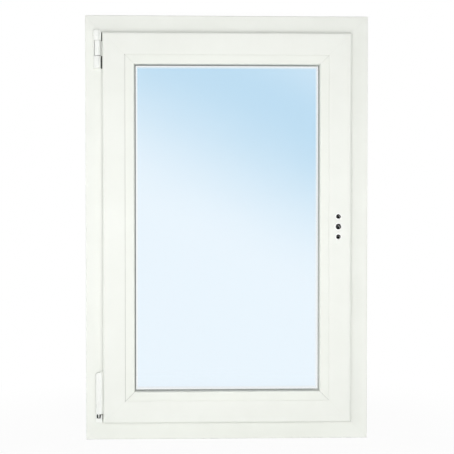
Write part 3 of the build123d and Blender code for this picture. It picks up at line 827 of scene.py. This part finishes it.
# Upper hinge's bearing on the frame: die-cast and powder-coated white, with a thin web that
# rises beside the knuckle, and screwed to the frame through its square back.
hardware_white = (0.935, 0.95, 0.92)
hardware_shade = (0.915, 0.93, 0.9)
hinge_gap = 0.001
bearing_foot_edge = 0.0012
bearing_top_edge = 0.0005
web_thickness = 0.0015
web_root = 0.002
hardware_look = moulded("white_hardware", hardware_white, hardware_shade, 0.36)
knuckle_low, knuckle_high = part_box("top_hinge_knuckle")
bearing_low, bearing_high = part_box("top_hinge_bearing")
bearing_radius = (bearing_high.x - bearing_low.x) / 2
bearing_x = bearing_low.x + bearing_radius
bearing_top = knuckle_low.z - hinge_gap
hinge_bearing = seated("hinge_bearing", bearing_radius, bearing_low.z, bearing_top, bearing_x)
end_rounded(hinge_bearing, bearing_low.z, bearing_foot_edge, 4)
end_rounded(hinge_bearing, bearing_top, bearing_top_edge, 2)
web = boxed(
    "web",
    (bearing_low.x, axis_y, bearing_top - web_root),
    (bearing_low.x + web_thickness, frame_face, bearing_high.z),
)
combined(hinge_bearing, web, "UNION")
bore = turned("bore", pin_bore, pin_low.z, bearing_top + overcut, axis_x, axis_y, 32)
combined(hinge_bearing, bore, "DIFFERENCE")
finished(hinge_bearing, hardware_look, "white_hardware", "top_hinge_bearing")

# Upper hinge's knuckle on the sash: rolled from the steel leaf that runs in under the sash to
# the stay arm, and powder-coated white. The roll's edge shows as a fine seam.
knuckle_radius = 0.0063
knuckle_edge = 0.0006
knuckle_x = knuckle_low.x + knuckle_radius
leaf_thickness = 0.002
leaf_edge = 0.0004
seam_start = 0.0042
seam_width = 0.0004
seam_front = 0.0052
seam_back = 0.0032
root_start = 0.0005
root_end = 0.004
root_back = 0.0006
root_inset = 0.0008
hinge_knuckle = turned(
    "hinge_knuckle", knuckle_radius, knuckle_low.z, knuckle_high.z, knuckle_x, axis_y
)
bevelled(hinge_knuckle, knuckle_edge, 3, lambda at, along: abs(along.z) < 0.1)
seam = boxed(
    "seam",
    (knuckle_x + seam_start, axis_y - seam_front, knuckle_low.z - overcut),
    (knuckle_x + seam_start + seam_width, axis_y - seam_back, knuckle_high.z + overcut),
)
combined(hinge_knuckle, seam, "DIFFERENCE")
root = boxed(
    "root",
    (axis_x + root_start, axis_y, knuckle_low.z + root_inset),
    (axis_x + root_end, knuckle_high.y - root_back, knuckle_high.z - root_inset),
)
combined(hinge_knuckle, root, "UNION")
leaf = boxed("leaf", (axis_x, knuckle_high.y - leaf_thickness, knuckle_low.z), knuckle_high)
bevelled(leaf, leaf_edge, 2, lambda at, along: True)
combined(hinge_knuckle, leaf, "UNION")
bore = turned(
    "bore", pin_bore, knuckle_low.z - overcut, knuckle_high.z + overcut, axis_x, axis_y, 32
)
combined(hinge_knuckle, bore, "DIFFERENCE")
finished(hinge_knuckle, hardware_look, "white_hardware", "top_hinge_knuckle")

# Lower hinge's cover: a white plastic sleeve with a flat front, slanting cheeks and a sloping
# top, clipped over the white band that is screwed to the sash.
cover_low, cover_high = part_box("bottom_hinge_cover")
band_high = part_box("bottom_hinge_band")[1]
cover_cheek = 0.003
cover_edge = 0.0006
cover_fall = math.radians(18)
cover_play = 0.0002
band_bore = 0.0051
slot_start = 0.0001
slot_end = 0.0042


def sliced(piece, point, normal):
    """Cuts off and closes what lies beyond a plane."""
    active(piece)
    bpy.ops.object.mode_set(mode="EDIT")
    bpy.ops.mesh.select_all(action="SELECT")
    bpy.ops.mesh.bisect(plane_co=point, plane_no=normal, use_fill=True, clear_outer=True)
    bpy.ops.object.mode_set(mode="OBJECT")


hinge_cover = boxed("hinge_cover", cover_low, cover_high)
bevelled(
    hinge_cover,
    cover_cheek,
    1,
    lambda at, along: abs(along.z) > 0.9 and at.y < cover_low.y + hair,
)
sliced(
    hinge_cover,
    (cover_high.x, axis_y, cover_high.z),
    (-math.sin(cover_fall), 0.0, math.cos(cover_fall)),
)
bevelled(hinge_cover, cover_edge, 3, lambda at, along: at.y < cover_high.y - hair)
bore = turned(
    "bore", band_bore, cover_low.z - overcut, band_high.z + cover_play, axis_x, axis_y, 40
)
combined(hinge_cover, bore, "DIFFERENCE")
slot = boxed(
    "slot",
    (axis_x - slot_start, axis_y, cover_low.z - overcut),
    (axis_x + slot_end, cover_high.y + overcut, band_high.z + cover_play),
)
combined(hinge_cover, slot, "DIFFERENCE")
finished(hinge_cover, trim_look, "white_trim", "bottom_hinge_cover")
finish_with(hardware_look, "bottom_hinge_band")

# Lower hinge's bearing on the frame: a die-cast white housing whose own cap is missing, so
# that the pivot shows in its pocket.
foot_low, foot_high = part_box("bottom_hinge_bearing")
pivot_low, pivot_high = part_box("bottom_hinge_pin")
pivot_radius = (pivot_high.x - pivot_low.x) / 2
pocket_sole = 0.0085
pocket_wall = 0.0015
pocket_left = axis_x - 0.004
pocket_right = axis_x + 0.0046
pocket_floor = foot_low.z + pocket_sole
pocket_back = foot_high.y - pocket_wall
foot_corner = 0.0015
foot_edge = 0.0005
pocket_edge = 0.0008
hinge_foot = boxed("hinge_foot", foot_low, foot_high)
bevelled(
    hinge_foot,
    foot_corner,
    4,
    lambda at, along: abs(along.z) > 0.9 and at.y < foot_low.y + hair,
)
bevelled(
    hinge_foot,
    foot_edge,
    2,
    lambda at, along: abs(along.z) < 0.9 and at.y < foot_high.y - hair,
)
pocket = boxed(
    "pocket",
    (pocket_left, foot_low.y - overcut, pocket_floor),
    (pocket_right, pocket_back, foot_high.z + overcut),
)
bevelled(
    pocket,
    pocket_edge,
    3,
    lambda at, along: abs(along.y) > 0.9 and at.z < pocket_floor + hair,
)
combined(hinge_foot, pocket, "DIFFERENCE")
bore = turned("bore", pivot_radius, pivot_low.z, pocket_floor + overcut, axis_x, axis_y, 24)
combined(hinge_foot, bore, "DIFFERENCE")
finished(hinge_foot, hardware_look, "white_hardware", "bottom_hinge_bearing")

# Pivot cup: pressed steel that lines the pocket of the lower bearing, open to the room and
# above, with the pivot standing through its floor. Its near-black colour is painted shade.
cup_play = 0.00005
cup_wall = 0.0003
cup_setback = 0.0022
cup_drop = 0.0006
pivot_cup = boxed(
    "pivot_cup",
    (pocket_left + cup_play, foot_low.y + cup_setback, pocket_floor + cup_play),
    (pocket_right - cup_play, pocket_back - cup_play, foot_high.z - cup_drop),
)
cup_room = boxed(
    "cup_room",
    (pocket_left + cup_wall, foot_low.y - overcut, pocket_floor + cup_wall),
    (pocket_right - cup_wall, pocket_back - cup_wall, foot_high.z + overcut),
)
combined(pivot_cup, cup_room, "DIFFERENCE")
bore = turned("bore", pivot_radius, pivot_low.z, foot_high.z, axis_x, axis_y, 24)
combined(pivot_cup, bore, "DIFFERENCE")
finished(pivot_cup, shade_dark_steel, "plated_steel")

# Pivot sleeve: a short white nylon tube pushed over the pivot, from the cup's floor up to the
# sash's band.
sleeve_radius = 0.0017
sleeve_edge = 0.0003
sleeve_rise = 0.0004
pivot_sleeve = turned(
    "pivot_sleeve",
    sleeve_radius,
    pocket_floor + sleeve_rise,
    cover_low.z + sleeve_rise,
    axis_x,
    axis_y,
    32,
)
bevelled(pivot_sleeve, sleeve_edge, 2, lambda at, along: abs(along.z) < 0.1)
bore = turned("bore", pivot_radius, pivot_low.z, pivot_high.z, axis_x, axis_y, 24)
combined(pivot_sleeve, bore, "DIFFERENCE")
finished(pivot_sleeve, hardware_look, "white_hardware")

# Upper hinge's washer: a thin ring of oiled steel on the pin, between the bearing and the
# knuckle that turns on it. Its near-black colour is painted shade in the gap.
washer_radius = 0.0056
washer_shift = 0.0005
bearing_washer = turned(
    "bearing_washer",
    washer_radius,
    bearing_top,
    knuckle_low.z,
    knuckle_x + washer_shift,
    axis_y,
    48,
)
bore = turned(
    "bore", pin_bore, bearing_top - overcut, knuckle_low.z + overcut, axis_x, axis_y, 32
)
combined(bearing_washer, bore, "DIFFERENCE")
finished(bearing_washer, shade_dark_steel, "plated_steel")

# Handle eyes: three short tubes of grey die-cast zinc that stand on the gear case behind the
# drilled holes, for the handle's spindle and screws. A slanting key in each holds the screw.
zinc_grey = (0.36, 0.36, 0.35)
zinc_bright = (0.5, 0.5, 0.49)
eye_wall = 0.0005
eye_room = -0.0451
eye_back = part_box("gear_case")[0].y
key_across = 0.0027
key_depth = 0.0075
key_rise = 0.0004
key_lean = math.radians(-38)
key_thickness = 0.0017
key_breadth = 0.0012
key_short = 0.0056
key_edge = 0.0003
eye_look, eye_tree, eye_shader = principled("die_cast_zinc", (0.6, 0.6, 0.58), 0.45)
eye_tone = noise(eye_tree, placed(eye_tree), 260.0, 3.0)
coloured(eye_tree, eye_shader, eye_tone, zinc_grey, zinc_bright)
roughened(eye_tree, eye_shader, eye_tone, 0.2, 0.8, 0.35, 0.6)
eye_names = ("spindle_eye", "lower_screw_eye", "upper_screw_eye")
for name, (eye_x, eye_z, radius) in zip(eye_names, handle_holes):
    bpy.ops.object.select_all(action="DESELECT")
    bpy.ops.mesh.primitive_cylinder_add(
        vertices=48,
        radius=radius + eye_wall,
        depth=eye_back - eye_room,
        location=(eye_x, (eye_room + eye_back) / 2, eye_z),
        rotation=(math.radians(90), 0.0, 0.0),
        end_fill_type="NGON",
    )
    bpy.ops.object.transform_apply(location=True, rotation=True, scale=True)
    eye = bpy.context.object
    eye.name = name
    bpy.ops.object.mode_set(mode="EDIT")
    bpy.ops.mesh.select_mode(type="FACE")
    bpy.ops.mesh.select_all(action="DESELECT")
    eye_mesh = bmesh.from_edit_mesh(eye.data)
    for face in eye_mesh.faces:
        face.select_set(abs(face.normal.y) > 0.9)
    bmesh.update_edit_mesh(eye.data)
    bpy.ops.mesh.inset(thickness=eye_wall - weld_distance, depth=0.0)
    bpy.ops.mesh.bridge_edge_loops()
    bpy.ops.object.mode_set(mode="OBJECT")
    bpy.ops.object.select_all(action="DESELECT")
    bpy.ops.mesh.primitive_cube_add(
        size=1.0,
        location=(eye_x + key_across, eye_room + key_depth, eye_z + key_rise),
        rotation=(0.0, key_lean, 0.0),
        scale=(key_thickness, key_breadth, 2 * radius - key_short),
    )
    bpy.ops.object.transform_apply(location=True, rotation=True, scale=True)
    key = bpy.context.object
    bevelled(key, key_edge, 2, lambda at, along: True)
    combined(eye, key, "UNION")
    finished(eye, eye_look, "plated_steel")

# Hinge shims: thin plastic strips on the frame's face, in the gap between each hinge and the
# sash's edge, that were slipped in to set the sash. Their near-black colour is painted shade.
# Painted shade in the gap beside each hinge: near-black tones for the strips.
shim_shade_dark = (0.012, 0.013, 0.012)
shim_shade_pale = (0.03, 0.032, 0.03)
shim_thickness = 0.0007
shim_edge = 0.0002
shim_tuck = 0.0012  # how far they reach under the sash's edge
shim_inset = 0.004
upper_shim_gap = 0.0013
lower_shim_rise = 0.0006
shim_look, shim_tree, shim_shader = principled("shade_dark_plastic", (0.02, 0.02, 0.02), 0.6)
shim_tone = noise(shim_tree, placed(shim_tree), 120.0, 3.0)
coloured(shim_tree, shim_shader, shim_tone, shim_shade_dark, shim_shade_pale)
roughened(shim_tree, shim_shader, shim_tone, 0.2, 0.8, 0.5, 0.75)
sash_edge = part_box("sash_hinge_stile")[0].x
for name, left, bottom, top in (
    ("upper_hinge_shim", cap_high.x + upper_shim_gap, bearing_low.z, cap_high.z - shim_inset),
    ("lower_hinge_shim", foot_high.x, foot_low.z + shim_inset, cover_low.z + lower_shim_rise),
):
    shim = boxed(
        name,
        (left, frame_face - shim_thickness, bottom),
        (sash_edge + shim_tuck, frame_face, top),
    )
    bevelled(shim, shim_edge, 2, lambda at, along: at.y < frame_face - shim_thickness + shim_edge)
    finished(shim, shim_look, "seal_rubber")
